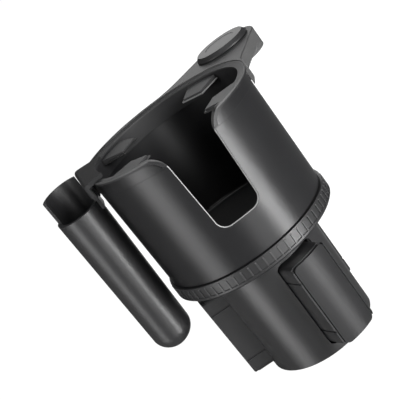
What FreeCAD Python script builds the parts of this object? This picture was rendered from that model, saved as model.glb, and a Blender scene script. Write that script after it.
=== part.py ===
import FreeCAD, Part
import math
import os

import Sketcher

V = FreeCAD.Vector

# Car cup holder expander. The origin is the middle of the foot's underside, on the cup's axis.
# +Z is up and the cup's handle notch faces -Y. Lengths are in millimetres, azimuths in degrees
# from the notch, positive towards +X.

doc = FreeCAD.newDocument("cup_holder_expander")

# Driving dimensions

DIMENSIONS = {
    # foot that drops into the car's own cup holder
    "foot_radius_top": 34.4,
    "foot_radius_low": 33.3,
    "foot_height": 70.9,
    "foot_wall": 2.2,
    "foot_edge_round": 0.6,
    "deck_level": 65.1,
    "deck_thickness": 2.5,
    "window_half_width": 13.7,
    "window_low": 4.8,
    "window_high": 62.6,
    "window_corner": 4.0,
    "guide_wall": 1.5,
    "guide_start": 19.0,
    "sliding_gap": 0.3,
    "foot_screw_post_radius": 3.4,
    "foot_screw_circle": 26.0,
    "sole_thickness": 2.0,
    "runner_half_width": 3.0,
    "runner_start": 9.0,
    "runner_end": 28.0,
    # wings that spread out of the foot
    "wing_azimuth": 19.5,
    "wing_reach": 12.5,
    "wing_reach_more": 1.5,
    "wing_half_width": 12.7,
    "wing_low": 5.5,
    "wing_high": 60.9,
    "wing_wall": 2.0,
    "wing_inner_end": 21.2,
    "wing_back_web": 2.4,
    "pad_thickness": 2.3,
    "pad_ledge": 0.3,
    "pad_groove": 0.5,
    "pad_lip": 0.8,
    "pad_corner": 3.2,
    "key_groove_width": 1.2,
    "key_groove_depth": 0.6,
    "key_groove_high": 51.3,
    "key_groove_low": 16.4,
    "follower_circle": 26.0,
    "follower_radius": 2.0,
    "follower_post_radius": 3.5,
    "follower_post_top": 64.5,
    "follower_top": 70.7,
    "follower_gap": 0.25,
    # knurled ring and its scroll
    "ring_radius": 52.3,
    "ring_low": 71.2,
    "ring_high": 80.2,
    "ring_wall": 2.6,
    "ring_web": 2.2,
    "ring_chamfer": 1.0,
    "ring_foot_band": 1.5,
    "ring_ribs": 68,
    "rib_width": 0.9,
    "rib_height": 0.5,
    "rib_top_gap": 0.9,
    "scroll_radius": 31.2,
    "scroll_low": 67.9,
    "scroll_rate": 0.1,
    "scroll_turn_in": 125.0,
    "scroll_turn_out": 15.0,
    "scroll_screw_circle": 27.0,
    "shaft_gap": 0.08,
    # cup barrel
    "hub_radius": 9.5,
    "hub_screw_circle": 6.0,
    "barrel_low": 80.8,
    "barrel_radius_low": 50.4,
    "barrel_radius_top": 51.1,
    "barrel_wall": 1.5,
    "barrel_floor_low": 82.3,
    "barrel_floor": 2.0,
    "band_low": 147.8,
    "band_step": 0.5,
    "notch_low": 103.0,
    "notch_half_width_low": 12.7,
    "notch_half_width_top": 15.1,
    "notch_corner": 6.0,
    "notch_flare": 11.0,
    "notch_edge_round": 0.6,
    "floor_round": 2.0,
    # floor mat
    "mat_radius": 44.0,
    "mat_thickness": 0.9,
    # rim ring
    "rim_top": 156.6,
    "rim_radius": 52.8,
    "rim_flange": 2.0,
    "rim_inner_radius": 48.1,
    "rim_skirt_low": 145.1,
    "rim_bead_low": 148.7,
    "rim_slope": 0.7,
    "rim_fit_gap": 0.12,
    # grip tabs
    "tab_azimuth_front": 52.5,
    "tab_azimuth_back": 135.5,
    "tab_root": 47.6,
    "tab_tip_front": 28.6,
    "tab_tip_back": 31.2,
    "tab_root_half_width": 11.8,
    "tab_tip_half_width": 7.8,
    "tab_low": 151.3,
    "tab_lip": 0.8,
    "tab_lip_width": 1.0,
    "tab_top_root": 154.3,
    "tab_top_tip": 153.1,
    "tab_pivot_radius": 45.4,
    "tab_pivot_level": 151.8,
    "tab_pin_radius": 0.8,
    "tab_pin_half_length": 7.2,
    "tab_ear_half_width": 2.8,
    "tab_ear_radius": 1.6,
    "tab_knuckle_radius": 1.6,
    "tab_nub_radius": 0.9,
    "tab_nub_height": 0.7,
    # accessory collar
    "collar_radius": 55.8,
    "collar_low": 145.1,
    "collar_top": 157.0,
    "collar_gap": 0.12,
    "collar_end_left": 91.0,
    "collar_end_right": 75.0,
    "collar_thin_radius": 53.9,
    "collar_taper": 3.0,
    "ledge_thickness": 1.23,
    "arm_azimuth": 135.0,
    "arm_reach": 81.6,
    "arm_pad_radius": 21.4,
    "arm_pad_wall": 2.4,
    "arm_pad_roof": 3.0,
    "arm_taper_front": 18.0,
    "arm_taper_back": 13.0,
    "arm_web_low": 149.3,
    "arm_blend_front": 30.0,
    "arm_blend_back": 40.0,
    "arm_edge_round": 0.8,
    "pedestal_radius": 15.2,
    "pedestal_height": 0.3,
    # hanger ear for the side tube
    "ear_azimuth": -88.6,
    "ear_fall": 5.4,
    "ear_top": 159.3,
    "ear_plate": 2.6,
    "ear_inner_radius": 45.5,
    "ear_outer": 56.5,
    "ear_front": 20.5,
    "ear_front_inner": 7.1,
    "ear_back": 27.0,
    "ear_wall": 2.2,
    "ear_low": 151.2,
    "ear_corner": 4.5,
    "ear_front_corner": 1.8,
    "ear_shoulder": 2.0,
    # side tube
    "tube_azimuth": -94.5,
    "tube_reach": 67.15,
    "tube_reach_low": 67.85,
    "tube_half_width_top": 13.9,
    "tube_half_depth_top": 16.6,
    "tube_half_width_low": 12.1,
    "tube_half_depth_low": 15.0,
    "tube_wall": 2.5,
    "tube_low": 49.3,
    "tube_top": 159.4,
    "tube_lip": 145.1,
    "tube_step": 1.0,
    "tube_round": 9.0,
    "hanger_half_width": 7.0,
    "hanger_top": 154.3,
    "hanger_seat": 151.9,
    "hanger_hook": 1.15,
    # accessory disc
    "disc_top": 160.4,
    "disc_low": 157.4,
    "disc_radius_top": 15.9,
    "disc_radius_low": 17.6,
    "disc_flange": 0.8,
    "disc_recess_radius": 10.0,
    "disc_recess": 0.15,
    "disc_stem_radius": 4.0,
    "disc_stem_low": 153.4,
    "washer_radius": 6.0,
    "washer_thickness": 0.8,
    # self-tapping screws
    "screw_radius": 1.4,
    "screw_head_radius": 2.7,
    "screw_head_height": 1.6,
    "screw_length": 10.0,
    "screw_hole_gap": 0.25,
}


class Size:
    """A length or angle together with the sheet expression that gives it."""

    def __init__(self, value, text):
        self.value = value
        self.text = text

    def __add__(self, other):
        other = as_size(other)
        return Size(self.value + other.value, f"({self.text} + {other.text})")

    def __sub__(self, other):
        other = as_size(other)
        return Size(self.value - other.value, f"({self.text} - {other.text})")

    def __mul__(self, other):
        other = as_size(other)
        return Size(self.value * other.value, f"({self.text} * {other.text})")

    def __truediv__(self, other):
        other = as_size(other)
        return Size(self.value / other.value, f"({self.text} / {other.text})")

    def __neg__(self):
        return Size(-self.value, f"(-1 * {self.text})")

    def __radd__(self, other):
        return as_size(other) + self

    def __rsub__(self, other):
        return as_size(other) - self

    def __rmul__(self, other):
        return as_size(other) * self


def as_size(number):
    return number if isinstance(number, Size) else Size(float(number), f"{float(number):.6f}")


def cosine(angle):
    return Size(math.cos(math.radians(angle.value)), f"cos({angle.text})")


def sine(angle):
    return Size(math.sin(math.radians(angle.value)), f"sin({angle.text})")


def tangent(angle):
    return Size(math.tan(math.radians(angle.value)), f"tan({angle.text})")


def root(square):
    return Size(math.sqrt(square.value), f"sqrt({square.text})")


class Sheet:
    """The spreadsheet's cells, read by name as sizes."""

    def __init__(self, dimensions):
        cells = doc.addObject("Spreadsheet::Sheet", "Sizes")
        for row, (name, number) in enumerate(dimensions.items(), 1):
            cells.set(f"A{row}", name)
            cells.set(f"B{row}", str(number))
            cells.setAlias(f"B{row}", name)
        self.dimensions = dimensions

    def __getattr__(self, name):
        return Size(float(self.dimensions[name]), f"Sizes.{name}")


S = Sheet(DIMENSIONS)
doc.recompute()

NODES = []


def keep(shape, label):
    """Names a finished sub-part."""
    shape.Label = label
    NODES.append(shape)
    return shape


# Part primitives and booleans

def bind(item, prop, size):
    item.setExpression(prop, as_size(size).text)


def move(item, x=0, y=0, z=None):
    """Moves a piece, along Z only where a height is given."""
    for axis, size in (("x", x), ("y", y), ("z", z)):
        if size is not None:
            bind(item, f".Placement.Base.{axis}", size)
    return item


def turn(item, azimuth):
    """Turns a piece modelled along +X to its azimuth, counted from -Y."""
    bind(item, ".Placement.Rotation.Angle", azimuth - 90)
    return item


def primitive(kind, name, at, **sizes):
    item = doc.addObject(kind, name)
    for prop, size in sizes.items():
        bind(item, prop, size)
    return move(item, *at)


def box(name, x, y, z):
    """A block between pairs of limits along X, Y and Z."""
    return primitive("Part::Box", name, (x[0], y[0], z[0]),
                     Length=as_size(x[1]) - x[0], Width=as_size(y[1]) - y[0],
                     Height=as_size(z[1]) - z[0])


def cylinder(name, radius, low, high, x=0, y=0):
    return primitive("Part::Cylinder", name, (x, y, low),
                     Radius=radius, Height=as_size(high) - low)


def cone(name, radius_low, radius_high, low, high, x=0):
    return primitive("Part::Cone", name, (x, 0, low), Radius1=radius_low,
                     Radius2=radius_high, Height=as_size(high) - low)


def cut(name, base, *tools):
    tool = tools[0] if len(tools) == 1 else fuse(name + "_tools", *tools)
    item = doc.addObject("Part::Cut", name)
    item.Base = base
    item.Tool = tool
    return item


def common(name, base, tool):
    item = doc.addObject("Part::Common", name)
    item.Base = base
    item.Tool = tool
    return item


def fuse(name, *pieces):
    item = doc.addObject("Part::MultiFuse", name)
    item.Shapes = list(pieces)
    return item


def placeable(name, piece):
    """Holds a piece that is already turned, so that it can be turned again."""
    item = doc.addObject("Part::Compound", name)
    item.Links = [piece]
    return item


def rounded(name, base, radius, test):
    """Fillets the edges of base that pass the test."""
    doc.recompute()
    item = doc.addObject("Part::Fillet", name)
    item.Base = base
    item.Edges = [(number, radius.value, radius.value)
                  for number, edge in enumerate(base.Shape.Edges, 1) if test(edge)]
    return item


def runs_along(edge, axis):
    """Whether an edge is straight and parallel to an axis."""
    if not isinstance(edge.Curve, Part.Line):
        return False
    return abs(edge.tangentAt(edge.FirstParameter).dot(axis)) > 0.9999


def at_level(edge, level):
    box_of = edge.BoundBox
    return abs(box_of.ZMin - level) < 1e-4 and abs(box_of.ZMax - level) < 1e-4


# Sketch-based bodies

def plane_of(body, role):
    return [item for item in body.Origin.OriginFeatures if item.Role == role][0]


def outline(body, name, role, points, lift=0):
    """A closed outline through points, each coordinate bound to the sheet."""
    sketch = body.newObject("Sketcher::SketchObject", name)
    sketch.AttachmentSupport = (plane_of(body, role), "")
    sketch.MapMode = "FlatFace"
    bind(sketch, ".AttachmentOffset.Base.z", lift)
    points = [(as_size(x), as_size(y)) for x, y in points]
    count = len(points)
    for index in range(count):
        start, end = points[index], points[(index + 1) % count]
        sketch.addGeometry(Part.LineSegment(V(start[0].value, start[1].value, 0),
                                            V(end[0].value, end[1].value, 0)), False)
    for index in range(count):
        sketch.addConstraint(Sketcher.Constraint("Coincident", index, 2, (index + 1) % count, 1))
    for index, point in enumerate(points):
        for kind, size in zip(("DistanceX", "DistanceY"), point):
            number = sketch.addConstraint(Sketcher.Constraint(kind, index, 1, size.value))
            sketch.setExpression(f"Constraints[{number}]", size.text)
    return sketch


def turned(name, points):
    """A body of revolution about Z, from its half section in X and Z."""
    body = doc.addObject("PartDesign::Body", name)
    sketch = outline(body, name + "_section", "XZ_Plane", points)
    spin = body.newObject("PartDesign::Revolution", name + "_turned")
    spin.Profile = sketch
    spin.ReferenceAxis = (sketch, ["V_Axis"])
    spin.Angle = 360
    return body


def padded(name, role, points, length, lift=0, midplane=False, reverse=False):
    """A body made by padding an outline away from one of its own planes."""
    body = doc.addObject("PartDesign::Body", name)
    sketch = outline(body, name + "_outline", role, points, lift)
    pad = body.newObject("PartDesign::Pad", name + "_pad")
    pad.Profile = sketch
    pad.Midplane = midplane
    pad.Reversed = reverse
    bind(pad, "Length", length)
    return body


def body_fillet(body, name, radius, test):
    """Fillets the edges of a body that pass the test."""
    doc.recompute()
    feature = body.Tip
    edges = [f"Edge{number}" for number, edge in enumerate(feature.Shape.Edges, 1) if test(edge)]
    fillet = body.newObject("PartDesign::Fillet", name)
    fillet.Base = (feature, edges)
    bind(fillet, "Radius", radius)
    body.Tip = fillet
    return body


def ring_of(name, make, circle, azimuth, count=3):
    """Copies of a small tool round a circle, as one compound."""
    pieces = []
    for index in range(count):
        angle = azimuth + 360 / count * index - 90
        item = make(f"{name}_{index + 1}")
        move(item, circle * cosine(angle), circle * sine(angle))
        pieces.append(item)
    return fuse(name, *pieces)


WING_AZIMUTHS = [S.wing_azimuth, S.wing_azimuth + 120, S.wing_azimuth - 120]
BETWEEN_WINGS = S.wing_azimuth + 60
DECK_TOP = S.deck_level + S.deck_thickness


# Foot: a drafted shell with three windows, a deck on top and guide walls for the wings

def foot_cone(name, inset, x=0):
    return cone(name, S.foot_radius_low - inset, S.foot_radius_top - inset, 0, S.foot_height, x)


def at_azimuths(name, azimuths, make):
    """One tool modelled along +X, made again at each azimuth."""
    return fuse(name, *[turn(placeable(f"{name}_{index}_turned", make(f"{name}_{index}")), azimuth)
                        for index, azimuth in enumerate(azimuths, 1)])


def window_tool(name):
    block = box(name + "_block", (S.guide_start, S.foot_radius_top * 2),
                (-S.window_half_width, S.window_half_width), (S.window_low, S.window_high))
    return rounded(name, block, S.window_corner, lambda edge: runs_along(edge, V(1, 0, 0)))


def guide_pair(name):
    inner = S.wing_half_width + S.sliding_gap
    outer = inner + S.guide_wall
    span = (S.guide_start, S.foot_radius_top)
    levels = (S.sole_thickness + S.sliding_gap, S.deck_level + S.deck_thickness / 2)
    return fuse(name, box(name + "_left", span, (inner, outer), levels),
                box(name + "_right", span, (-outer, -inner), levels))


def follower_slot(name):
    reach = S.follower_radius + S.sliding_gap
    return box(name, (S.follower_circle - S.wing_reach - reach, S.follower_circle + S.wing_reach_more + reach),
               (-reach, reach), (S.deck_level - 1, DECK_TOP + 1))


def foot_shell():
    shell = turned("foot_shell_turned", [
        (S.foot_radius_low - S.foot_wall, 0), (S.foot_radius_low, 0),
        (S.foot_radius_top, S.foot_height), (S.foot_radius_top - S.foot_wall, S.foot_height),
        (S.foot_radius_top - S.foot_wall, DECK_TOP), (0, DECK_TOP), (0, S.deck_level),
        (S.foot_radius_top - S.foot_wall, S.deck_level)])
    body_fillet(shell, "foot_edge", S.foot_edge_round,
                lambda edge: at_level(edge, 0) and edge.Curve.Radius > S.foot_radius_low.value - 0.1)
    guides = common("guides_trimmed", at_azimuths("guides", WING_AZIMUTHS, guide_pair),
                    foot_cone("guide_limit", S.foot_wall / 2))
    posts = ring_of("sole_posts", lambda name: cylinder(
        name, S.foot_screw_post_radius, S.sole_thickness, S.deck_level + S.deck_thickness / 2),
        S.foot_screw_circle, BETWEEN_WINGS)
    pilots = ring_of("sole_pilots", lambda name: cylinder(
        name, S.screw_radius, 0, S.sole_thickness + S.screw_length),
        S.foot_screw_circle, BETWEEN_WINGS)
    hub_holes = ring_of("hub_holes", lambda name: cylinder(
        name, S.screw_radius + S.screw_hole_gap, S.deck_level - 1, DECK_TOP + 1),
        S.hub_screw_circle, BETWEEN_WINGS)
    whole = fuse("foot_whole", cut("foot_open", shell, at_azimuths("windows", WING_AZIMUTHS, window_tool)),
                 guides, posts)
    return keep(cut("foot_finished", whole, at_azimuths("follower_slots", WING_AZIMUTHS, follower_slot),
                    pilots, hub_holes), "foot_shell")


def foot_sole():
    plate = turned("foot_sole_turned", [
        (0, 0), (S.foot_radius_low - S.foot_wall - S.sliding_gap / 2, 0),
        (S.foot_radius_low - S.foot_wall - S.sliding_gap / 2, S.sole_thickness), (0, S.sole_thickness)])
    runners = at_azimuths("runners", WING_AZIMUTHS, lambda name: box(
        name, (S.runner_start, S.runner_end), (-S.runner_half_width, S.runner_half_width),
        (S.sole_thickness, S.wing_low - S.sliding_gap)))
    holes = ring_of("sole_holes", lambda name: cylinder(
        name, S.screw_radius + S.screw_hole_gap, -1, S.sole_thickness + 1),
        S.foot_screw_circle, BETWEEN_WINGS)
    sinks = ring_of("sole_sinks", lambda name: cylinder(
        name, S.screw_head_radius + S.screw_hole_gap, -1, S.sole_thickness / 2),
        S.foot_screw_circle, BETWEEN_WINGS)
    return keep(cut("foot_sole_finished", fuse("foot_sole_whole", plate, runners), holes, sinks), "foot_sole")


# Wings: open-backed boxes with a follower pin on top, and a curved outer pad each

def wing_slide(number, azimuth):
    name = f"wing_{number}"
    block = box(name + "_block", (S.wing_inner_end, S.foot_radius_top * 2),
                (-S.wing_half_width, S.wing_half_width), (S.wing_low, S.wing_high))
    block = rounded(name + "_corners", block, S.window_corner - S.sliding_gap,
                    lambda edge: runs_along(edge, V(1, 0, 0)))
    body = common(name + "_curved", block, foot_cone(name + "_face", 0, S.wing_reach))
    seat_half = S.wing_half_width - S.pad_lip
    seat = cut(name + "_pad_seat", box(name + "_seat_block", (S.foot_radius_low, S.foot_radius_top * 2),
                                       (-seat_half, seat_half), (S.wing_low - 1, S.wing_high + 1)),
               foot_cone(name + "_seat_face", S.pad_thickness, S.wing_reach))
    inner_face = S.foot_radius_low - S.pad_thickness + S.wing_reach - S.wing_back_web - S.wing_wall
    hollow = box(name + "_hollow", (S.wing_inner_end - 1, inner_face),
                 (S.wing_wall - S.wing_half_width, S.wing_half_width - S.wing_wall),
                 (S.wing_low + S.wing_wall, S.wing_high - S.wing_wall))
    grooves = []
    for level_name, level in (("high", S.key_groove_high), ("low", S.key_groove_low)):
        for side_name, side in (("left", 1), ("right", -1)):
            edges = sorted([side * (S.wing_half_width - S.key_groove_depth), side * (S.wing_half_width + 1)],
                           key=lambda size: size.value)
            grooves.append(box(f"{name}_groove_{level_name}_{side_name}",
                               (S.wing_inner_end - 1, S.foot_radius_top * 2), edges,
                               (level - S.key_groove_width / 2, level + S.key_groove_width / 2)))
    post = cylinder(name + "_post", S.follower_post_radius, S.wing_high - S.wing_wall / 2,
                    S.follower_post_top, S.follower_circle)
    pin = cylinder(name + "_pin", S.follower_radius, S.wing_high, S.follower_top, S.follower_circle)
    whole = fuse(name + "_whole", cut(name + "_open", body, seat, hollow, *grooves), post, pin)
    return keep(turn(whole, azimuth), f"wing_slide_{number}")


def wing_pad(number, azimuth):
    name = f"pad_{number}"
    curved = cut(name + "_curved", foot_cone(name + "_outer", 0, S.wing_reach),
                 foot_cone(name + "_inner", S.pad_thickness, S.wing_reach))
    half = S.wing_half_width - S.pad_lip - S.pad_groove
    block = box(name + "_block", (S.foot_radius_low, S.foot_radius_top * 2), (-half, half),
                (S.wing_low + S.pad_ledge, S.wing_high - S.pad_ledge))
    panel = rounded(name + "_corners", block, S.pad_corner, lambda edge: runs_along(edge, V(1, 0, 0)))
    return keep(turn(common(name + "_panel", panel, curved), azimuth), f"wing_pad_{number}")


# Adjusting ring: a knurled skirt on a flat web that turns about the barrel's hub

def adjusting_ring():
    band = S.ring_radius - S.rib_height
    band_low = S.ring_low + S.ring_chamfer + S.ring_foot_band
    body = turned("ring_turned", [
        (S.hub_radius + S.shaft_gap, S.ring_low), (S.ring_radius - S.ring_chamfer, S.ring_low),
        (S.ring_radius, S.ring_low + S.ring_chamfer), (S.ring_radius, band_low - S.rib_height),
        (band, band_low), (band, S.ring_high),
        (S.ring_radius - S.ring_wall, S.ring_high), (S.ring_radius - S.ring_wall, S.ring_low + S.ring_web),
        (S.hub_radius + S.shaft_gap, S.ring_low + S.ring_web)])
    rib_high = S.ring_high - S.rib_top_gap
    sketch = outline(body, "rib_outline", "XZ_Plane", [
        (band - S.rib_height, band_low - S.rib_height), (S.ring_radius, band_low - S.rib_height),
        (S.ring_radius, rib_high - S.rib_height), (band, rib_high), (band - S.rib_height, rib_high)])
    rib = body.newObject("PartDesign::Pad", "rib")
    rib.Profile = sketch
    rib.Midplane = True
    bind(rib, "Length", S.rib_width)
    doc.recompute()
    pattern = body.newObject("PartDesign::PolarPattern", "ribs")
    pattern.Originals = [rib]
    pattern.Axis = (sketch, ["V_Axis"])
    pattern.Angle = 360
    bind(pattern, "Occurrences", S.ring_ribs)
    body.Tip = pattern
    pilots = ring_of("scroll_pilots", lambda name: cylinder(
        name, S.screw_radius, S.ring_low - 1, S.ring_low + S.ring_web + 1),
        S.scroll_screw_circle, BETWEEN_WINGS)
    return keep(cut("ring_finished", body, pilots), "adjusting_ring")


def scroll_slot(name, half_width, low, high, azimuth):
    """An Archimedean slot: its radius falls evenly with azimuth. No sketch curve has this form."""
    rate = S.scroll_rate.value
    start = -S.scroll_turn_out.value
    end = S.scroll_turn_in.value
    steps = 24

    def wall(side):
        points = []
        for step in range(steps + 1):
            angle = start + (end - start) * step / steps
            radius = S.follower_circle.value - rate * angle
            slope = -rate * 180 / math.pi
            length = math.hypot(radius, slope)
            out = V(math.cos(math.radians(angle)), math.sin(math.radians(angle)), 0)
            along = V(-out.y, out.x, 0)
            normal = out * (radius / length) - along * (slope / length)
            points.append(out * radius + normal * (side * half_width.value))
        curve = Part.BSplineCurve()
        curve.interpolate(points)
        return curve.toShape(), points[0], points[-1]

    outer, outer_start, outer_end = wall(1)
    inner, inner_start, inner_end = wall(-1)

    def cap(first, second):
        """A round end that bulges away from the slot."""
        across = (second - first) * 0.5
        return Part.Arc(first, first + across + V(across.y, -across.x, 0), second).toShape()

    wire = Part.Wire(Part.__sortEdges__([outer, cap(outer_end, inner_end), inner,
                                         cap(inner_start, outer_start)]))
    item = doc.addObject("Part::Feature", name)
    prism = Part.Face(wire).extrude(V(0, 0, high.value - low.value))
    item.Shape = prism
    item.Placement = FreeCAD.Placement(V(0, 0, low.value),
                                       FreeCAD.Rotation(V(0, 0, 1), azimuth.value - 90))
    return item


def scroll_plate():
    plate = turned("scroll_turned", [
        (S.hub_radius + S.sliding_gap, S.scroll_low), (S.scroll_radius, S.scroll_low),
        (S.scroll_radius, S.ring_low), (S.hub_radius + S.sliding_gap, S.ring_low)])
    slots = [scroll_slot(f"scroll_slot_{index}", S.follower_radius + S.follower_gap,
                         S.scroll_low - 1, S.ring_low + 1, azimuth)
             for index, azimuth in enumerate(WING_AZIMUTHS, 1)]
    holes = ring_of("scroll_holes", lambda name: cylinder(
        name, S.screw_radius + S.screw_hole_gap, S.scroll_low - 1, S.ring_low + 1),
        S.scroll_screw_circle, BETWEEN_WINGS)
    sinks = ring_of("scroll_sinks", lambda name: cylinder(
        name, S.screw_head_radius + S.screw_hole_gap, S.scroll_low - 1,
        S.scroll_low + S.screw_head_height + S.screw_hole_gap),
        S.scroll_screw_circle, BETWEEN_WINGS)
    return keep(cut("scroll_finished", plate, holes, sinks, *slots), "scroll_plate")


# Cup barrel: a thin drafted tube with a floor, a hub under it and a handle notch at the front

def notch_tool(name, grow):
    """The notch and the flare at its top, as a prism through the front wall."""
    low = S.notch_low - grow
    top = S.rim_top - grow
    above = S.rim_top + 10
    wide = S.rim_radius
    half_low = S.notch_half_width_low + grow
    half_top = S.notch_half_width_top + grow
    body = padded(name, "XZ_Plane", [
        (-half_low, low), (half_low, low), (half_top, top), (wide, top), (wide, above),
        (-wide, above), (-wide, top), (-half_top, top)], S.rim_radius * 1.5)

    def near_corner(edge, x, z):
        return (runs_along(edge, V(0, 1, 0)) and abs(abs(edge.Vertexes[0].X) - x) < 0.01
                and abs(edge.Vertexes[0].Z - z) < 0.01)

    body_fillet(body, name + "_flare", S.notch_flare - grow,
                lambda edge: near_corner(edge, half_top.value, top.value))
    body_fillet(body, name + "_corner", S.notch_corner + grow,
                lambda edge: near_corner(edge, half_low.value, low.value))
    return body


FLANGE_LOW = S.rim_top - S.rim_flange
FLOOR_TOP = S.barrel_floor_low + S.barrel_floor


def cup_barrel():
    inner_low = S.barrel_radius_low - S.barrel_wall
    inner_top = S.barrel_radius_top - S.barrel_wall
    body = turned("barrel_turned", [
        (0, FLOOR_TOP), (inner_low, FLOOR_TOP), (inner_top, FLANGE_LOW), (S.barrel_radius_top, FLANGE_LOW),
        (S.barrel_radius_low, S.barrel_low), (inner_low, S.barrel_low), (inner_low, S.barrel_floor_low),
        (S.hub_radius, S.barrel_floor_low), (S.hub_radius, DECK_TOP), (0, DECK_TOP)])
    body_fillet(body, "barrel_floor_round", S.floor_round,
                lambda edge: at_level(edge, FLOOR_TOP.value))
    notched = rounded("barrel_notch_round", cut("barrel_notched", body, notch_tool("notch_cut", as_size(0))),
                      S.notch_edge_round, borders_notch)
    band = turned("barrel_band_turned", [
        (S.barrel_radius_top - S.barrel_wall / 2, FLANGE_LOW), (S.barrel_radius_top + S.band_step, FLANGE_LOW),
        (S.barrel_radius_top + S.band_step, S.band_low + S.band_step / 2),
        (S.barrel_radius_top - S.barrel_wall / 2, S.band_low)])
    band_cut = cut("barrel_band", band, notch_tool("notch_band", S.notch_edge_round))
    pilots = ring_of("hub_pilots", lambda name: cylinder(
        name, S.screw_radius, DECK_TOP - 1, DECK_TOP + S.screw_length),
        S.hub_screw_circle, BETWEEN_WINGS)
    seat = common("barrel_rim_seat", notch_tool("notch_seat", S.rim_flange + S.sliding_gap),
                  box("rim_seat_zone", (-S.rim_radius, S.rim_radius), (-S.rim_radius, 0),
                      (S.rim_bead_low - S.sliding_gap, S.rim_top)))
    return keep(cut("barrel_finished", fuse("barrel_whole", notched, band_cut), pilots, seat), "cup_barrel")


def borders_notch(edge):
    """Whether an edge runs along the notch's border, inside or outside the wall."""
    middle = edge.valueAt((edge.FirstParameter + edge.LastParameter) / 2)
    limits = edge.BoundBox
    if isinstance(edge.Curve, Part.Line) and runs_along(edge, V(0, 1, 0)):
        return False
    if limits.XMax - limits.XMin > S.rim_radius.value or limits.ZMax > FLANGE_LOW.value + 0.01:
        return False
    if limits.YMax > 0 or limits.ZMax - limits.ZMin < 1e-4 and middle.z > S.notch_low.value + 1:
        return False
    wall = S.barrel_wall.value
    return (math.hypot(middle.x, middle.y) > S.barrel_radius_low.value - wall - 0.1
            and middle.z > S.notch_low.value - 0.1)


def floor_mat():
    return keep(cylinder("floor_mat_disc", S.mat_radius, FLOOR_TOP, FLOOR_TOP + S.mat_thickness), "floor_mat")


# Rim ring: a flange and skirt pressed into the barrel's mouth, with ears for the grip tabs

TAB_AZIMUTHS = [-S.tab_azimuth_front, S.tab_azimuth_front, S.tab_azimuth_back, -S.tab_azimuth_back]


def tab_ear(name):
    inner = S.tab_pivot_radius
    levels = (S.tab_pivot_level - S.tab_ear_radius, S.tab_pivot_level + S.tab_ear_radius)
    block = box(name + "_web", (inner, S.rim_inner_radius + 0.5),
                (-S.tab_ear_half_width, S.tab_ear_half_width), levels)
    knuckle = lying_cylinder(name + "_knuckle", S.tab_ear_radius, S.tab_ear_half_width,
                             S.tab_pivot_radius, S.tab_pivot_level)
    return fuse(name, block, knuckle)


def lying_cylinder(name, radius, half_length, x, z):
    """A cylinder along Y, centred on the XZ plane."""
    item = doc.addObject("Part::Cylinder", name)
    bind(item, "Radius", radius)
    bind(item, "Height", half_length * 2)
    item.Placement = FreeCAD.Placement(V(0, 0, 0), FreeCAD.Rotation(V(1, 0, 0), -90))
    return move(item, x, -as_size(half_length), z)


def rim_ring():
    wall_radius = S.barrel_radius_top - S.barrel_wall - S.rim_fit_gap
    body = turned("rim_turned", [
        (S.rim_inner_radius, S.rim_skirt_low), (wall_radius, S.rim_skirt_low),
        (wall_radius, S.rim_bead_low), (S.rim_radius, S.rim_bead_low), (S.rim_radius, S.rim_top),
        (S.rim_radius - S.rim_slope, S.rim_top), (S.rim_inner_radius, S.rim_top - S.rim_slope)])
    under = turned("rim_under", [
        (wall_radius, S.rim_bead_low - 1), (S.rim_radius + 1, S.rim_bead_low - 1),
        (S.rim_radius + 1, FLANGE_LOW), (wall_radius, FLANGE_LOW)])
    under_cut = cut("rim_under_cut", under, notch_tool("rim_bead_room", S.rim_flange))
    ears = at_azimuths("tab_ears", TAB_AZIMUTHS, tab_ear)
    bores = at_azimuths("tab_ear_bores", TAB_AZIMUTHS, lambda name: lying_cylinder(
        name, S.tab_pin_radius, S.tab_ear_half_width + 1, S.tab_pivot_radius, S.tab_pivot_level))
    open_ring = cut("rim_open", body, notch_tool("rim_notch", as_size(0)), under_cut)
    return keep(cut("rim_finished", fuse("rim_whole", open_ring, ears), bores), "rim_ring")


# Grip tabs: four sprung flaps round the mouth, each on a pin

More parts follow.
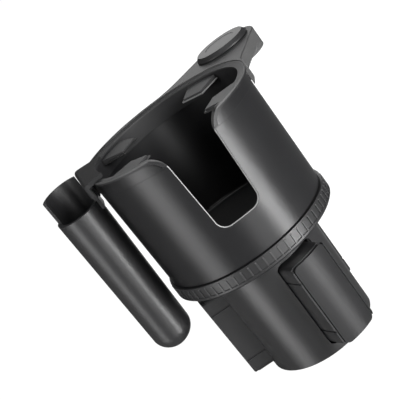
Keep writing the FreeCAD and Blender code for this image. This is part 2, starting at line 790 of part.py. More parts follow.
def grip_tab(number, azimuth, tip):
    name = f"tab_{number}"
    lip = S.tab_lip_width
    side = padded(name + "_side", "XZ_Plane", [
        (tip + lip, S.tab_low), (S.tab_root, S.tab_low), (S.tab_root, S.tab_top_root),
        (tip + lip, S.tab_top_tip)], S.tab_root_half_width * 2, midplane=True)
    plan = padded(name + "_plan", "XY_Plane", [
        (tip + lip, -S.tab_tip_half_width + lip), (S.tab_root, -S.tab_root_half_width + lip),
        (S.tab_root, S.tab_root_half_width - lip), (tip + lip, S.tab_tip_half_width - lip)],
        S.tab_top_root - S.tab_low, S.tab_low)
    lip_plate = padded(name + "_lip", "XY_Plane", [
        (tip, -S.tab_tip_half_width), (S.tab_root, -S.tab_root_half_width),
        (S.tab_root, S.tab_root_half_width), (tip, S.tab_tip_half_width)], S.tab_lip, S.tab_low)
    nubs = [cylinder(f"{name}_nub_{side_name}", S.tab_nub_radius, S.tab_low - S.tab_nub_height,
                     S.tab_low + S.tab_lip / 2, tip + S.tab_nub_radius * 2,
                     side_sign * (S.tab_tip_half_width - S.tab_nub_radius * 2))
            for side_name, side_sign in (("left", 1), ("right", -1))]
    ear_room = S.tab_ear_half_width + S.sliding_gap
    pocket_inner = S.tab_pivot_radius - S.tab_ear_radius - S.sliding_gap
    pocket_top = S.tab_pivot_level + S.tab_ear_radius + S.sliding_gap
    pocket = box(name + "_ear_room", (pocket_inner, S.tab_root + 1), (-ear_room, ear_room),
                 (S.tab_low - 2, pocket_top))
    knuckles = lying_cylinder(name + "_knuckles", S.tab_knuckle_radius, S.tab_pin_half_length,
                              S.tab_pivot_radius, S.tab_pivot_level)
    bore = lying_cylinder(name + "_bore", S.tab_pin_radius + S.shaft_gap, S.tab_pin_half_length + 0.4,
                          S.tab_pivot_radius, S.tab_pivot_level)
    whole = fuse(name + "_whole", common(name + "_top", side, plan), lip_plate, knuckles, *nubs)
    plate = common(name + "_plate", whole,
                   cylinder(name + "_sweep", S.tab_root, S.tab_low - 2, S.tab_top_root + 1))
    return keep(turn(cut(name + "_finished", plate, pocket, bore), azimuth), f"grip_tab_{number}")


def tab_pins():
    pins = at_azimuths("tab_pin_set", TAB_AZIMUTHS, lambda name: lying_cylinder(
        name, S.tab_pin_radius, S.tab_pin_half_length, S.tab_pivot_radius, S.tab_pivot_level))
    return keep(pins, "tab_pins")


# Accessory collar: a C-shaped band round the rim with an arm for the disc and an ear for the tube

def arm_blend(side, taper, radius, hoop_radius):
    """Where a side of the arm ends, the middle of its blend into the band, and where that meets the band."""
    from_line = S.arm_reach * sine(taper) + S.arm_pad_radius + radius
    reach = hoop_radius + radius
    along = root(reach * reach - from_line * from_line)
    x = from_line * sine(taper) + along * cosine(taper)
    y = from_line * cosine(taper) - along * sine(taper)
    share = hoop_radius / reach
    return [(S.arm_reach + S.arm_pad_radius * sine(taper), side * S.arm_pad_radius * cosine(taper)),
            (x - radius * sine(taper), side * (y - radius * cosine(taper))),
            (x, side * y), (x * share, side * y * share)]


def arm_solid():
    front = arm_blend(-1, S.arm_taper_front, S.arm_blend_front, S.collar_thin_radius)
    back = arm_blend(1, S.arm_taper_back, S.arm_blend_back, S.collar_radius)
    web = padded("arm_web", "XY_Plane", front + back[::-1], S.collar_top - S.arm_web_low, S.arm_web_low)
    hollows = [cylinder(name, radius, S.arm_web_low - 1, S.collar_top + 1, *middle)
               for name, radius, middle in (("arm_blend_front", S.arm_blend_front, front[2]),
                                            ("arm_blend_back", S.arm_blend_back, back[2]))]
    pad = cylinder("arm_pad", S.arm_pad_radius, S.collar_low, S.collar_top, S.arm_reach)
    form = rounded("arm_rounded", fuse("arm_form", cut("arm_web_blended", web, *hollows), pad),
                   S.arm_edge_round, borders_arm)
    pedestal = cylinder("arm_pedestal", S.pedestal_radius, S.collar_top - 1,
                        S.collar_top + S.pedestal_height, S.arm_reach)
    hollow = cylinder("arm_hollow", S.arm_pad_radius - S.arm_pad_wall, S.collar_low - 1,
                      S.collar_top - S.arm_pad_roof, S.arm_reach)
    bore = cylinder("arm_bore", S.disc_stem_radius + S.shaft_gap, S.collar_low,
                    S.collar_top + 2, S.arm_reach)
    return cut("arm", fuse("arm_whole", form, pedestal), hollow, bore)


def borders_arm(edge):
    """Whether an edge is on the outline of the arm's top face."""
    middle = edge.valueAt((edge.FirstParameter + edge.LastParameter) / 2)
    from_pad = math.hypot(middle.x - S.arm_reach.value, middle.y)
    on_pad = abs(from_pad - S.arm_pad_radius.value) < 0.01 and middle.x > S.arm_reach.value
    return at_level(edge, S.collar_top.value) and (on_pad or abs(middle.y) > S.arm_pad_radius.value * 0.85)


def stands_at(edge, x, y):
    return runs_along(edge, V(0, 0, 1)) and math.hypot(edge.Vertexes[0].X - x, edge.Vertexes[0].Y - y) < 0.01


def ear_solid():
    inside = S.ear_inner_radius * 0.85
    leg = S.ear_outer - S.ear_wall
    inner_top = S.ear_top - (S.ear_outer - inside) * tangent(S.ear_fall)
    profile = padded("ear_profile", "XZ_Plane", [
        (S.ear_outer, S.ear_low), (S.ear_outer, S.ear_top), (inside, inner_top),
        (inside, inner_top - S.ear_plate), (leg, S.ear_top - S.ear_plate), (leg, S.ear_low)],
        S.ear_back * 3, midplane=True)
    body_fillet(profile, "ear_shoulder_round", S.ear_shoulder, lambda edge: runs_along(
        edge, V(0, 1, 0)) and edge.Vertexes[0].X > S.ear_outer.value - 0.01
        and edge.Vertexes[0].Z > S.ear_top.value - 0.01)
    back_wall = box("ear_back_wall", (S.ear_inner_radius, leg + S.ear_wall / 2),
                    (-S.ear_back, S.ear_wall - S.ear_back), (S.ear_low, S.ear_top - S.ear_plate))
    plan = padded("ear_plan", "XY_Plane", [
        (S.ear_outer, S.ear_front), (inside, S.ear_front_inner), (inside, -S.ear_back),
        (S.ear_outer, -S.ear_back)], S.ear_top - S.ear_low + 2, S.ear_low - 1)
    body_fillet(plan, "ear_back_corner", S.ear_corner,
                lambda edge: stands_at(edge, S.ear_outer.value, -S.ear_back.value))
    body_fillet(plan, "ear_front_round", S.ear_front_corner,
                lambda edge: stands_at(edge, S.ear_outer.value, S.ear_front.value))
    return common("ear_shaped", fuse("ear_whole", profile, back_wall), plan)


def sector(name, start, span):
    """A wedge of the band's height, from one azimuth on."""
    wedge = cylinder(name, S.collar_radius * 1.2, S.collar_low - 1, S.collar_top + 1)
    bind(wedge, "Angle", span)
    bind(wedge, ".Placement.Rotation.Angle", start - 90)
    return wedge


LEDGE_OUT = S.barrel_radius_top + S.band_step + S.collar_gap + S.ledge_thickness


def accessory_collar():
    bead = S.rim_radius + S.collar_gap
    band = S.barrel_radius_top + S.band_step + S.collar_gap
    step = FLANGE_LOW - S.collar_gap
    hoop = turned("collar_turned", [
        (band, S.collar_low), (S.collar_radius, S.collar_low), (S.collar_radius, S.collar_top),
        (bead, S.collar_top), (bead, step), (band, step)])
    thin_hoop = turned("collar_thin_turned", [
        (band, S.collar_low), (band + S.collar_gap * 4, S.collar_low),
        (S.collar_thin_radius, S.collar_low + S.collar_taper), (S.collar_thin_radius, S.collar_top),
        (bead, S.collar_top), (bead, step), (band, step)])
    bore = turned("collar_bore", [
        (0, S.collar_low - 1), (band, S.collar_low - 1), (band, step), (bead, step),
        (bead, S.collar_top + 1), (0, S.collar_top + 1)])
    back = cut("collar_back", hoop, sector("collar_front_zone", -S.collar_end_left,
                                           S.collar_end_left + S.arm_azimuth))
    right = common("collar_right", thin_hoop, sector("collar_thin_zone", S.collar_end_right,
                                                     S.arm_azimuth - S.collar_end_right + 5))
    arm = cut("arm_trimmed", turn(arm_solid(), S.arm_azimuth), bore)
    bay_span = (-S.hanger_half_width - S.tube_wall * 2, S.ear_front * 2)
    tube_bay = box("tube_bay", (LEDGE_OUT, S.ear_outer * 1.2), bay_span,
                   (S.collar_low - 1, S.collar_top + 1))
    hook_bay = box("hook_bay", (S.barrel_radius_top, S.ear_outer * 1.2), bay_span,
                   (S.hanger_seat - S.sliding_gap, S.collar_top + 1))
    trimmed = cut("collar_trimmed", fuse("collar_and_arm", back, right, arm),
                  turn(fuse("tube_bays", tube_bay, hook_bay), S.tube_azimuth))
    over_rim = turned("ear_bore", [
        (0, S.ear_low - 2), (bead, S.ear_low - 2), (bead, S.rim_top + S.collar_gap),
        (S.rim_radius - S.rim_slope, S.rim_top + S.collar_gap),
        (S.rim_inner_radius, S.rim_top - S.rim_slope + S.collar_gap),
        (0, S.rim_top - S.rim_slope + S.collar_gap)])
    inner_limit = cylinder("ear_inner_limit", S.ear_inner_radius, S.ear_low - 2, S.ear_top + 1)
    reach = S.hanger_half_width + S.sliding_gap
    hanger_bay = box("hanger_bay", (S.barrel_radius_top, S.ear_outer * 1.2), (-reach, reach),
                     (S.ear_low - 2, S.hanger_top + S.sliding_gap))
    ear = cut("ear", turn(ear_solid(), S.ear_azimuth), over_rim, inner_limit,
              turn(placeable("hanger_bay_turned", hanger_bay), S.tube_azimuth))
    return keep(fuse("collar_finished", trimmed, ear), "accessory_collar")


# Side tube: a closed oval tube hung on the collar's ear, its back half taller than its lip

def oval(name, reach, half_width, half_depth, level):
    item = doc.addObject("Part::Ellipse", name)
    bind(item, "MajorRadius", half_depth)
    bind(item, "MinorRadius", half_width)
    item.Placement = FreeCAD.Placement(V(0, 0, 0), FreeCAD.Rotation(V(0, 0, 1), 90))
    return move(item, reach, 0, level)


def oval_loft(name, inset, low, high):
    loft = doc.addObject("Part::Loft", name + "_loft")
    loft.Sections = [
        oval(name + "_low", S.tube_reach_low, S.tube_half_width_low - inset, S.tube_half_depth_low - inset, low),
        oval(name + "_top", S.tube_reach, S.tube_half_width_top - inset, S.tube_half_depth_top - inset, high)]
    loft.Solid = True
    loft.Ruled = True
    return loft


def oval_solid(name, inset, low, high, round_radius):
    return rounded(name, oval_loft(name, inset, low, high), round_radius,
                   lambda edge: at_level(edge, as_size(low).value))


def side_tube():
    outer = oval_solid("tube_outer", 0, S.tube_low, S.tube_top, S.tube_round)
    inner = oval_solid("tube_inner", S.tube_wall, S.tube_low + S.tube_wall, S.tube_top + 1,
                       S.tube_round - S.tube_wall)
    around = S.tube_half_depth_top * 2
    span = (S.tube_reach - around, S.tube_reach + around)
    above = (S.tube_lip, S.tube_top + 1)
    front = box("tube_front", span, (0, around), above)
    beside = turn(placeable("tube_beside_turned", box(
        "tube_beside", (0, S.ear_outer + S.sliding_gap), (-around, around), above)),
        S.ear_azimuth - S.tube_azimuth + 90)
    step = cut("tube_step_ring", box("tube_above_lip", span, (-around, around), above),
               oval_loft("tube_core", S.tube_step, S.tube_low, S.tube_top + 1))
    wall_out = S.tube_reach - S.tube_half_width_top
    plate = box("hanger_plate", (wall_out, wall_out + S.tube_wall),
                (-S.hanger_half_width, S.hanger_half_width), (S.tube_lip - 6, S.hanger_top))
    hook = box("hanger_hook", (LEDGE_OUT + S.sliding_gap - S.hanger_hook, wall_out + S.tube_wall),
               (-S.hanger_half_width, S.hanger_half_width), (S.hanger_seat, S.hanger_top))
    shell = cut("tube_shell", outer, inner, front, beside, step)
    return keep(turn(fuse("tube_finished", shell, plate, hook), S.tube_azimuth), "side_tube")


# Accessory disc: turns on the arm's pad, held from below by a washer and a screw

def accessory_disc():
    body = turned("disc_turned", [
        (0, S.disc_stem_low), (S.disc_stem_radius, S.disc_stem_low), (S.disc_stem_radius, S.disc_low),
        (S.disc_radius_low, S.disc_low), (S.disc_radius_low, S.disc_low + S.disc_flange),
        (S.disc_radius_top, S.disc_top), (S.disc_recess_radius, S.disc_top),
        (S.disc_recess_radius, S.disc_top - S.disc_recess), (0, S.disc_top - S.disc_recess)])
    pilot = cylinder("disc_pilot", S.screw_radius, S.disc_stem_low - 1, S.disc_low - 0.6)
    disc = cut("disc_piloted", body, pilot)
    return keep(place_on_arm(disc), "accessory_disc")


def place_on_arm(item):
    angle = S.arm_azimuth - 90
    return move(item, S.arm_reach * cosine(angle), S.arm_reach * sine(angle))


def disc_washer():
    body = turned("washer_turned", [
        (S.screw_radius + S.screw_hole_gap, S.disc_stem_low - S.washer_thickness),
        (S.washer_radius, S.disc_stem_low - S.washer_thickness), (S.washer_radius, S.disc_stem_low),
        (S.screw_radius + S.screw_hole_gap, S.disc_stem_low)])
    return keep(place_on_arm(body), "disc_washer")


# Screws

def screw(name, seat, length):
    """A pan-head screw pointing up, its head under the seat level."""
    body = turned(name, [
        (0, seat - S.screw_head_height), (S.screw_head_radius - 0.5, seat - S.screw_head_height),
        (S.screw_head_radius, seat - S.screw_head_height + 0.5), (S.screw_head_radius, seat),
        (S.screw_radius, seat), (S.screw_radius, seat + length - 1), (S.screw_radius / 2, seat + length),
        (0, seat + length)])
    return body


def screw_set(label, circle, seat, length):
    return keep(ring_of(label, lambda name: screw(name, seat, length), circle, BETWEEN_WINGS), label)


def disc_screw():
    seat = S.disc_stem_low - S.washer_thickness
    return keep(place_on_arm(screw("disc_screw_turned", seat, S.disc_low - 1 - seat)), "disc_screw")


foot_shell()
foot_sole()
for wing_number, wing_at in enumerate(WING_AZIMUTHS, 1):
    wing_slide(wing_number, wing_at)
    wing_pad(wing_number, wing_at)
adjusting_ring()
scroll_plate()
cup_barrel()
floor_mat()
rim_ring()
for tab_number, tab_at in enumerate(TAB_AZIMUTHS, 1):
    grip_tab(tab_number, tab_at, S.tab_tip_front if tab_number < 3 else S.tab_tip_back)
tab_pins()
accessory_collar()
side_tube()
accessory_disc()
disc_washer()
disc_screw()
screw_set("sole_screws", S.foot_screw_circle, S.sole_thickness / 2, S.screw_length)
screw_set("hub_screws", S.hub_screw_circle, S.deck_level, S.deck_thickness + S.screw_length - 1)
screw_set("scroll_screws", S.scroll_screw_circle, S.scroll_low + S.screw_head_height,
          S.ring_low + S.ring_web - S.scroll_low - S.screw_head_height)

doc.recompute()

for item in doc.Objects:
    state = set(item.State) & {"Invalid", "Error"}
    if state:
        raise RuntimeError(f"{item.Name} failed: {item.State}")
for node in NODES:
    if node.Shape.isNull() or not node.Shape.isValid():
        raise RuntimeError(f"{node.Label} has no valid shape")

os.makedirs("parts", exist_ok=True)
for node in NODES:
    node.Shape.exportStep(f"parts/{node.Label}.step")
    print(f"{node.Label:20s} solids {len(node.Shape.Solids):2d}  volume {node.Shape.Volume:10.1f}")
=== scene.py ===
import math
from types import SimpleNamespace

import bpy
from mathutils import Matrix, Vector


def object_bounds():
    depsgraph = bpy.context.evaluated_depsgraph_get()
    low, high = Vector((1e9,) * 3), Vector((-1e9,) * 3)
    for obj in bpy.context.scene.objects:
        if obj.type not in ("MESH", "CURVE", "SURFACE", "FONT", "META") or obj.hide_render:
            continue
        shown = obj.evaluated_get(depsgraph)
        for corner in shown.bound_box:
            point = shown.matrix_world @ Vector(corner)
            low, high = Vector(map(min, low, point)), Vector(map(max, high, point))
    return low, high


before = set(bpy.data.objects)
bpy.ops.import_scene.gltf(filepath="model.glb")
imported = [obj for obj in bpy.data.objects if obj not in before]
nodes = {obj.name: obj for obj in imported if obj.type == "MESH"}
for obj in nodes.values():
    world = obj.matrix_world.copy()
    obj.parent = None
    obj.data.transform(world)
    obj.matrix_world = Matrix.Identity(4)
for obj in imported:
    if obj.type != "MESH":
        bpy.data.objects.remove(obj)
cad_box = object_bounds()
scene = bpy.context.scene

# Camera: in front of the handle notch, a little above the rim, 0.6 m away with a long lens.
# It is rolled, so the upright cup leans in its frame as it does in the photograph.
camera_data = bpy.data.cameras.new("camera")
camera_data.sensor_width = 36.0
camera_data.sensor_fit = "HORIZONTAL"
camera_data.lens = 96.76
camera_data.clip_start = 0.01
camera_data.clip_end = 20.0
camera = bpy.data.objects.new("camera", camera_data)
scene.collection.objects.link(camera)
camera_at = Vector((-0.03328, -0.56885, 0.28468))
aim = Vector((-0.01041, 0.00042, 0.10840))
roll_degrees = -37.36
level_view = (aim - camera_at).to_track_quat("-Z", "Y").to_matrix().to_4x4()
roll = Matrix.Rotation(math.radians(roll_degrees), 4, "Z")
camera.matrix_world = Matrix.Translation(camera_at) @ level_view @ roll
scene.camera = camera
scene.view_settings.view_transform = "Standard"


# Studio: a white table in a white room, four tall soft lamps round the cup and a weak one above.
# The white comes from the table's and the room's own colour, and the table keeps the shadow.
# The table is a little glossy, so the lamps' reflections in the foot carry on down to its edge.
class Wire:
    """One output inside a material. Ordinary signs on it add the nodes that work them out."""

    def __init__(self, tree, socket):
        self.tree = tree
        self.socket = socket

    def node(self, kind, settings=None, **inputs):
        """Adds a node, sets it up, feeds its inputs and hands back its first output.

        An input is given by its name, or by its number as at0, at1 and so on.
        """
        made = self.tree.nodes.new(kind)
        for key, value in (settings or {}).items():
            setattr(made, key, value)
        for key, value in inputs.items():
            name = key.replace("_", " ")
            socket = made.inputs[int(name[2:])] if name.startswith("at") else made.inputs[name]
            if isinstance(value, Wire):
                self.tree.links.new(value.socket, socket)
            else:
                socket.default_value = value
        return Wire(self.tree, made.outputs[0])

    def output(self, name):
        """Another output of the node that this one belongs to."""
        return Wire(self.tree, self.socket.node.outputs[name])

    def math(self, operation, other=0.0):
        return self.node("ShaderNodeMath", {"operation": operation}, at0=self, at1=other)

    def __add__(self, other):
        return self.math("ADD", other)

    def __radd__(self, other):
        return self.math("ADD", other)

    def __sub__(self, other):
        return self.math("SUBTRACT", other)

    def __rsub__(self, other):
        return self.node("ShaderNodeMath", {"operation": "SUBTRACT"}, at0=other, at1=self)

    def __mul__(self, other):
        return self.math("MULTIPLY", other)

    def __rmul__(self, other):
        return self.math("MULTIPLY", other)

    def __truediv__(self, other):
        return self.math("DIVIDE", other)

    def __rtruediv__(self, other):
        return self.node("ShaderNodeMath", {"operation": "DIVIDE"}, at0=other, at1=self)

    def clamp(self):
        return self.node("ShaderNodeClamp", Value=self)

    def blend(self, low, high):
        """A colour between two, by this value."""
        made = self.tree.nodes.new("ShaderNodeMix")
        made.data_type = "RGBA"
        self.tree.links.new(self.socket, made.inputs["Factor"])
        first_colour, second_colour, colour_result = 6, 7, 2
        for place, colour in ((first_colour, low), (second_colour, high)):
            if isinstance(colour, Wire):
                self.tree.links.new(colour.socket, made.inputs[place])
            else:
                made.inputs[place].default_value = (*colour, 1.0)
        return Wire(self.tree, made.outputs[colour_result])


def new_material(name):
    """A bare material, its shader and a wire of its places in the object's own frame."""
    material = bpy.data.materials.new(name)
    material.use_nodes = True
    tree = material.node_tree
    shader = tree.nodes["Principled BSDF"]
    places = Wire(tree, tree.nodes.new("ShaderNodeTexCoord").outputs["Object"])
    return material, shader, places


def feed(shader, **inputs):
    """Sets or links the shader's sockets."""
    for key, value in inputs.items():
        socket = shader.inputs[key.replace("_", " ")]
        if isinstance(value, Wire):
            value.tree.links.new(value.socket, socket)
        else:
            socket.default_value = value


def camera_sees(tree):
    """1 for what the camera looks at itself, 0 for what only lights or reflects."""
    return Wire(tree, tree.nodes.new("ShaderNodeLightPath").outputs["Is Camera Ray"])


half_table = 3.0
corners = [(-half_table, -half_table, 0), (half_table, -half_table, 0),
           (half_table, half_table, 0), (-half_table, half_table, 0)]
table_mesh = bpy.data.meshes.new("table")
table_mesh.from_pydata(corners, [], [(0, 1, 2, 3)])
table = bpy.data.objects.new("table", table_mesh)
# The sole's screw heads are the lowest points, 0.6 mm under the foot.
table.location.z = cad_box[0][2]
scene.collection.objects.link(table)
table_white, table_shader, table_places = new_material("table_white")
shade = table_places.node("ShaderNodeTexNoise", Vector=table_places, Scale=3.0)
feed(table_shader, Base_Color=shade.blend((0.78, 0.78, 0.78), (0.82, 0.82, 0.82)),
     Metallic=0.6, Roughness=0.12)
table_tree = table_white.node_tree
glow = table_tree.nodes.new("ShaderNodeEmission")
glow.inputs["Strength"].default_value = 1.25
glow_share = 0.82
both = table_tree.nodes.new("ShaderNodeMixShader")
table_tree.links.new((camera_sees(table_tree) * glow_share).socket, both.inputs["Fac"])
table_tree.links.new(table_shader.outputs["BSDF"], both.inputs[1])
table_tree.links.new(glow.outputs["Emission"], both.inputs[2])
table_tree.links.new(both.outputs["Shader"], table_tree.nodes["Material Output"].inputs["Surface"])
table_mesh.materials.append(table_white)

room = bpy.data.worlds.new("room")
scene.world = room
room.use_nodes = True
room_tree = room.node_tree
backdrop = room_tree.nodes["Background"]
backdrop.inputs["Color"].default_value = (1.0, 1.0, 1.0, 1.0)
room_light, extra_white = 0.09, 0.92
room_strength = camera_sees(room_tree) * extra_white + room_light
room_tree.links.new(room_strength.socket, backdrop.inputs["Strength"])


def place_lamp(name, lamp, place):
    """Puts a lamp in the studio, out of the camera's sight."""
    holder = bpy.data.objects.new(name, lamp)
    scene.collection.objects.link(holder)
    holder.location = place
    holder.visible_camera = False
    return holder


def soft_light(name, azimuth, width, power):
    """A tall flat lamp on the table that faces the cup. Azimuth is from the notch, to the right."""
    distance, high = 1.0, 0.7
    lamp = bpy.data.lights.new(name, "AREA")
    lamp.shape = "RECTANGLE"
    lamp.size = width
    lamp.size_y = high
    lamp.energy = power
    turn = math.radians(azimuth)
    x, y = distance * math.sin(turn), -distance * math.cos(turn)
    holder = place_lamp(name, lamp, (x, y, high / 2))
    holder.rotation_euler = Vector((-x, -y, 0)).to_track_quat("-Z", "Y").to_euler()


soft_light("light_right", 40, 0.30, 11.6)
soft_light("light_right_front", 12, 0.45, 2.4)
soft_light("light_left", -66, 0.48, 4.6)
soft_light("light_back", 168, 0.40, 1.3)
over = bpy.data.lights.new("light_over", "AREA")
over.size = 0.4
over.energy = 0.5
place_lamp("light_over", over, (0.05, 0.0, 0.8))


# Foot: the round shell that drops into the car's own cup holder, with its deck and its sole plate.
# Black ABS out of a satin tool. Three screws hold the sole from below.
def black_plastic(name, tone, roughness, shine=0.6, edge=0.0003,
                  grain_size=0.0005, grain_depth=0.00002, cloud=0.05):
    """Moulded black plastic: its tool's fine texture, uneven sheen and softly broken edges.

    Edge, grain_size and grain_depth are in metres. Cloud is how much the roughness wanders.
    """
    material, shader, places = new_material(name)
    grain = places.node("ShaderNodeTexNoise", Vector=places, Scale=1.0 / grain_size, Detail=3.0)
    clouds = places.node("ShaderNodeTexNoise", Vector=places, Scale=38.0, Detail=4.0)
    darker = tuple(0.85 * part for part in tone)
    lighter = tuple(1.15 * part for part in tone)
    broken_edge = places.node("ShaderNodeBevel", {"samples": 4}, Radius=edge)
    relief = places.node("ShaderNodeBump", Height=grain, Normal=broken_edge,
                         Strength=0.35, Distance=grain_depth)
    black = clouds.blend(darker, lighter)
    sheen = roughness + (clouds - 0.5) * cloud + (grain - 0.5) * 0.06
    feed(shader, Base_Color=black, Roughness=sheen, Normal=relief, IOR=1.5,
         Specular_IOR_Level=shine)
    return SimpleNamespace(material=material, shader=shader, places=places, black=black,
                           sheen=sheen)


def dress(material, *names):
    """Puts a material on every slot of the named pieces."""
    for name in names:
        slots = nodes[name].data.materials
        if not slots:
            slots.append(material)
        for index in range(len(slots)):
            slots[index] = material


foot_plastic = black_plastic("foot_black", (0.022, 0.022, 0.023), 0.36, shine=0.9)
dress(foot_plastic.material, "foot_shell", "foot_sole")

# Wings: three slides that spread out of the foot's windows and grip the car's cup holder.
# Black ABS like the foot, moulded separately, with a slightly duller face.
wing_plastic = black_plastic("wing_black", (0.022, 0.022, 0.023), 0.42, shine=0.9)
dress(wing_plastic.material, "wing_slide_1", "wing_slide_2", "wing_slide_3")

# Wing pads: the curved outer panels that touch the car's cup holder.
# Darker and softer than the slides that they are pressed into.
pad_plastic = black_plastic("pad_black", (0.014, 0.014, 0.015), 0.47, shine=0.5)
dress(pad_plastic.material, "wing_pad_1", "wing_pad_2", "wing_pad_3")

# Adjusting ring: turned by hand to spread the wings, so it has upright ribs all round.
# Satin black ABS. The ribs' crests and their rounded tops carry a painted highlight: a lighter base
# colour that stands in for the light they catch.
ring_plastic = black_plastic("ring_black", (0.018, 0.018, 0.019), 0.44, shine=0.85, edge=0.00005)


def fade(value, start, stop):
    """Rises smoothly from 0 at start to 1 at stop."""
    return value.node("ShaderNodeMapRange", {"interpolation_type": "SMOOTHSTEP", "clamp": True},
                      Value=value, at1=start, at2=stop, at3=0.0, at4=1.0)


def split(wire):
    """The three parts of a vector."""
    parts = wire.node("ShaderNodeSeparateXYZ", Vector=wire)
    return parts, parts.output("Y"), parts.output("Z")


def from_axis(x, y):
    """Distance from the cup's upright axis."""
    return (x * x + y * y).math("POWER", 0.5)


x, y, z = split(ring_plastic.places)
ring_radius = from_axis(x, y)
# Painted highlight: a lighter base colour on the ribs' crests and a brighter one on their rounded
# tops.
painted_crest_highlight = fade(ring_radius, 0.05190, 0.05205) * fade(z, 0.0736, 0.0738)
top_of_rib = fade(z, 0.0786, 0.0788) * fade(z, 0.07935, 0.07925)
painted_rib_tip_glint = fade(ring_radius, 0.05183, 0.05190) * top_of_rib
ribs_with_painted_highlight = painted_crest_highlight.blend(ring_plastic.black, (0.045, 0.045, 0.046))
feed(ring_plastic.shader, Base_Color=painted_rib_tip_glint.blend(ribs_with_painted_highlight, (0.10, 0.10, 0.10)))
dress(ring_plastic.material, "adjusting_ring")

# Scroll plate: the slotted disc under the ring that drives the wings' pins.
# Smooth black acetal, screwed to the ring from below.
scroll_plastic = black_plastic("acetal_black", (0.03, 0.03, 0.033), 0.3, cloud=0.02)
dress(scroll_plastic.material, "scroll_plate")

# Cup barrel: the cup's wall with its handle notch, its floor and the hub below.
# One satin moulding of black ABS. The notch's rounded edge has a painted highlight: a light grey
# base colour all the way round that stands in for the light the edge catches.
barrel_plastic = black_plastic("barrel_black", (0.011, 0.011, 0.012), 0.33, shine=0.65)


def sideways(places):
    """1 where a face looks straight away from the cup's axis or at it, 0 on a notch's cut edge."""
    x, y, z = split(places)
    facing_x, facing_y, facing_z = split(places.output("Normal"))
    return ((facing_x * x + facing_y * y) / from_axis(x, y)).math("ABSOLUTE")


x, y, z = split(barrel_plastic.places)
above_floor = fade(z, 0.1015, 0.1022)
near_notch = fade(y, -0.030, -0.034)
# Painted highlight: a light grey base colour on the notch's cut edge, above the floor.
painted_notch_edge_highlight = fade(sideways(barrel_plastic.places), 0.95, 0.6) * above_floor * near_notch
feed(barrel_plastic.shader, Base_Color=painted_notch_edge_highlight.blend(barrel_plastic.black, (0.5, 0.5, 0.5)))
dress(barrel_plastic.material, "cup_barrel")

# Floor mat: a plain round of black rubber that lies loose on the barrel's floor.
# Mat and coarse to the touch, so that a cup doesn't slide.
mat_plastic = black_plastic("mat_black", (0.03, 0.03, 0.031), 0.7, grain_depth=0.00006)
dress(mat_plastic.material, "floor_mat")

# Rim ring: the flange, bead and skirt round the barrel's mouth, snapped over its wall.
# Satin black ABS, with a painted highlight, a fine light line of base colour along its edges, and
# painted shade, a near-black band just inside the outer line.
rim_plastic = black_plastic("rim_black", (0.017, 0.017, 0.018), 0.5, shine=0.55)
x, y, z = split(rim_plastic.places)
rim_radius = from_axis(x, y)
rim_top = fade(z, 0.1550, 0.1553)
# Painted highlights: light lines of base colour along the rim's inner, outer and notch edges.
# Painted shade: a near-black band inside the outer line.
painted_inner_highlight = fade(rim_radius, 0.0486, 0.0483) * rim_top * 0.4
painted_outer_highlight = fade(rim_radius, 0.0521, 0.0524) * fade(z, 0.1555, 0.1558)
below_top, near_notch = fade(z, 0.1553, 0.1548), fade(y, -0.020, -0.024)
painted_notch_line_highlight = fade(sideways(rim_plastic.places), 0.8, 0.5) * below_top * near_notch
painted_groove_shade = fade(rim_radius, 0.0508, 0.0511) * fade(rim_radius, 0.0521, 0.0518) * rim_top
painted_edge_highlights = (painted_inner_highlight + painted_outer_highlight + painted_notch_line_highlight).clamp()
rim_with_painted_highlights = painted_edge_highlights.blend(rim_plastic.black, (0.10, 0.10, 0.10))
feed(rim_plastic.shader, Base_Color=painted_groove_shade.blend(rim_with_painted_highlights, (0.004, 0.004, 0.004)))
dress(rim_plastic.material, "rim_ring")


# Grip tabs: four sprung flaps on pins that steady a cup.
# A softer black plastic with a fine grain on top and a low lip round three sides. The lip has
# painted shade, a darker base colour, and a painted highlight line along its edge.
def tab_finish(name, azimuth, tip, painted_highlight_tone):
    """A tab's finish, with painted shade on the lip and a painted highlight line along its edge. It
    serves the tab's mirror twin too.

    Azimuth is where the tab sits, from the notch. Tip is its end's distance from the cup's axis.
    """
    root, tip_half_width, root_half_width = 0.0476, 0.0078, 0.0118
    plastic = black_plastic(name, (0.045, 0.045, 0.046), 0.5, shine=0.75,
                            grain_size=0.0008, grain_depth=0.00006)
    x, y, z = split(plastic.places)
    out_x, out_y = math.sin(math.radians(azimuth)), -math.cos(math.radians(azimuth))
    side = x.math("ABSOLUTE")
    along = side * out_x + y * out_y
    across = (side * out_y - y * out_x).math("ABSOLUTE")
    widening = (root_half_width - tip_half_width) / (root - tip)
    half_width = tip_half_width + (along - tip) * widening
    inside = (half_width - across).math("MINIMUM", along - tip)
    # Painted shade on the lip below the top face, and a painted highlight line along the lip's
    # edge.
    lip = fade(z, 0.15230, 0.15215)
    painted_lip_highlight = fade(inside, 0.00045, 0.00030) * lip
    tab_with_painted_shade = lip.blend(plastic.black, (0.012, 0.012, 0.012))
    feed(plastic.shader, Base_Color=painted_lip_highlight.blend(tab_with_painted_shade, (painted_highlight_tone, painted_highlight_tone, painted_highlight_tone)))
    return plastic.material


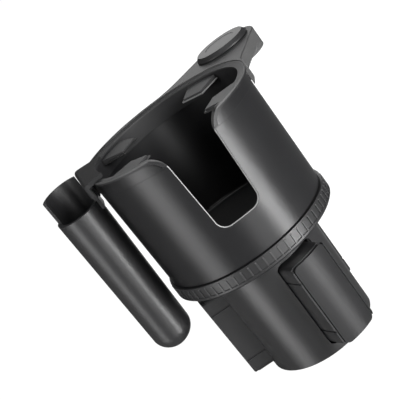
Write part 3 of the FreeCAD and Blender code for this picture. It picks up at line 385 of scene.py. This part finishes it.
front_azimuth, front_tip = 52.5, 0.0286
back_azimuth, back_tip = 135.5, 0.0312
# The last number is the tone of the painted highlight line, brightest on the back right tab.
dress(tab_finish("tab_front_black", front_azimuth, front_tip, 0.05), "grip_tab_1", "grip_tab_2")
dress(tab_finish("tab_back_right_black", back_azimuth, back_tip, 0.3), "grip_tab_3")
dress(tab_finish("tab_back_left_black", back_azimuth, back_tip, 0.03), "grip_tab_4")

# Accessory collar: the C-shaped band that clips round the rim, with the disc's arm and the
# tube's ear. Fine-grained black ABS, with painted light, a lighter base colour, on the arm's
# upright faces.
# The ear has painted shade, a darker base colour, and is rougher, so it is duller than the arm.
collar_plastic = black_plastic("collar_black", (0.040, 0.040, 0.041), 0.48, shine=0.62,
                               grain_size=0.0007, grain_depth=0.00004)
x, y, z = split(collar_plastic.places)
facing_x, facing_y, facing_z = split(collar_plastic.places.output("Normal"))
# Painted light on the arm's upright faces and painted shade on the ear, both in the base colour.
# The ear is rougher too.
upright = fade(facing_z.math("ABSOLUTE"), 0.75, 0.35)
arm = fade(x, 0.020, 0.030)
ear_painted_shade_and_roughness = fade(x, -0.030, -0.036)
arm_with_painted_light = (upright * arm).blend(collar_plastic.black, (0.10, 0.10, 0.10))
feed(collar_plastic.shader, Base_Color=ear_painted_shade_and_roughness.blend(arm_with_painted_light, (0.014, 0.014, 0.015)),
     Roughness=collar_plastic.sheen + ear_painted_shade_and_roughness * 0.3)
dress(collar_plastic.material, "accessory_collar")

# Side tube: the closed oval tube for pens or a straw, hung on the collar's ear.
# Smooth satin ABS, a little darker than the foot.
tube_plastic = black_plastic("tube_black", (0.016, 0.016, 0.017), 0.46, shine=0.9)
dress(tube_plastic.material, "side_tube")

# Accessory disc: the round head on the arm, whose stem turns in the arm's end.
# Fine-grained black ABS, held by a washer and a screw from below.
disc_plastic = black_plastic("disc_black", (0.024, 0.024, 0.025), 0.42, shine=0.75,
                             grain_size=0.0007, grain_depth=0.00004)
dress(disc_plastic.material, "accessory_disc")

# Fixings: the screws, the disc's washer and the four pins that the tabs swing on.
# Zinc-plated steel with a fine uneven brightness. None of them shows from above.
steel, steel_shader, steel_places = new_material("bright_steel")
brushed = steel_places.node("ShaderNodeTexNoise", Vector=steel_places, Scale=900.0, Detail=3.0)
feed(steel_shader, Base_Color=brushed.blend((0.5, 0.5, 0.51), (0.6, 0.6, 0.61)), Metallic=1.0,
     Roughness=0.28 + brushed * 0.12)
dress(steel, "tab_pins", "disc_washer", "disc_screw", "sole_screws", "hub_screws", "scroll_screws")
